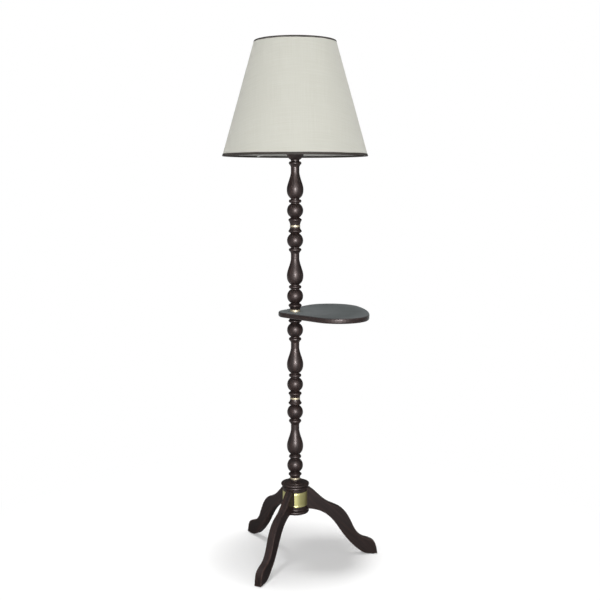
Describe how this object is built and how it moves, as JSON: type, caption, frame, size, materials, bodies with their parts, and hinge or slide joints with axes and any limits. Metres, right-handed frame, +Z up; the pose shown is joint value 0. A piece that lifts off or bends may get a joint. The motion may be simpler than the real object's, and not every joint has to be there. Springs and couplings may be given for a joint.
{
  "type": "candlestick floor lamp",
  "caption": "Tall turned-wood floor lamp on curved legs, with brass rings, a tray that turns about the column and a conical fabric shade.",
  "frame": {"origin": "on the floor, on the axis of the column", "axes": "+Z up along the column, +X over the right leg as the picture shows it, +Y to the back"},
  "size_m": [0.4921, 0.4748, 1.625],
  "materials": {
    "dark_wood": "satin lacquer over very dark brown stain",
    "brass": "satin, pale yellow",
    "contact_brass": "plain",
    "dowel_wood": "raw beech",
    "felt": "pressed felt",
    "steel": "zinc plated",
    "black_plastic": "fine matt",
    "ceramic": "plain",
    "white_wire": "white coated wire",
    "shade_linen": "fine pale linen on a white lining",
    "trim_tape": "woven taupe tape"
  },
  "bodies": {
    "column": {"hub_drum": "dark_wood", "hub_cap": "dark_wood", "hub_plate_front": "brass", "hub_plate_left": "brass", "hub_plate_rear": "brass", "leg_right": "dark_wood", "leg_back": "dark_wood", "leg_front": "dark_wood", "leg_dowels": "dowel_wood", "pad_right": "felt", "pad_back": "felt", "pad_front": "felt", "base_washer": "steel", "base_nut": "steel", "cable_bush": "black_plastic", "stem_tube": "steel", "base_ring": "brass", "post_bottom": "dark_wood", "post_ring_lower": "brass", "post_lower": "dark_wood", "tray_felt": "felt", "tray_sleeve": "brass", "post_upper": "dark_wood", "post_ring_upper": "brass", "post_top": "dark_wood", "cup_washer": "steel", "cup_nut": "steel", "holder_cap": "black_plastic", "holder_core": "ceramic", "holder_contact": "contact_brass", "holder_shell": "contact_brass", "holder_skirt": "black_plastic", "holder_clamp_ring": "black_plastic"},
    "tray": {"tray": "dark_wood"},
    "shade": {"shade_fitter": "white_wire", "spoke_right": "white_wire", "spoke_back": "white_wire", "spoke_left": "white_wire", "shade_bottom_wire": "white_wire", "shade_top_wire": "white_wire", "shade_fabric": "shade_linen", "shade_bottom_trim": "trim_tape", "shade_top_trim": "trim_tape"}
  },
  "joints": [
    {"name": "tray_swivel", "type": "hinge", "parent": "column", "child": "tray", "pos_m": [0, 0, 0.79095], "axis": [0, 0, 1], "continuous": true},
    {"name": "shade_swivel", "type": "hinge", "parent": "column", "child": "shade", "pos_m": [0, 0, 1.32085], "axis": [0, 0, 1], "continuous": true}
  ]
}
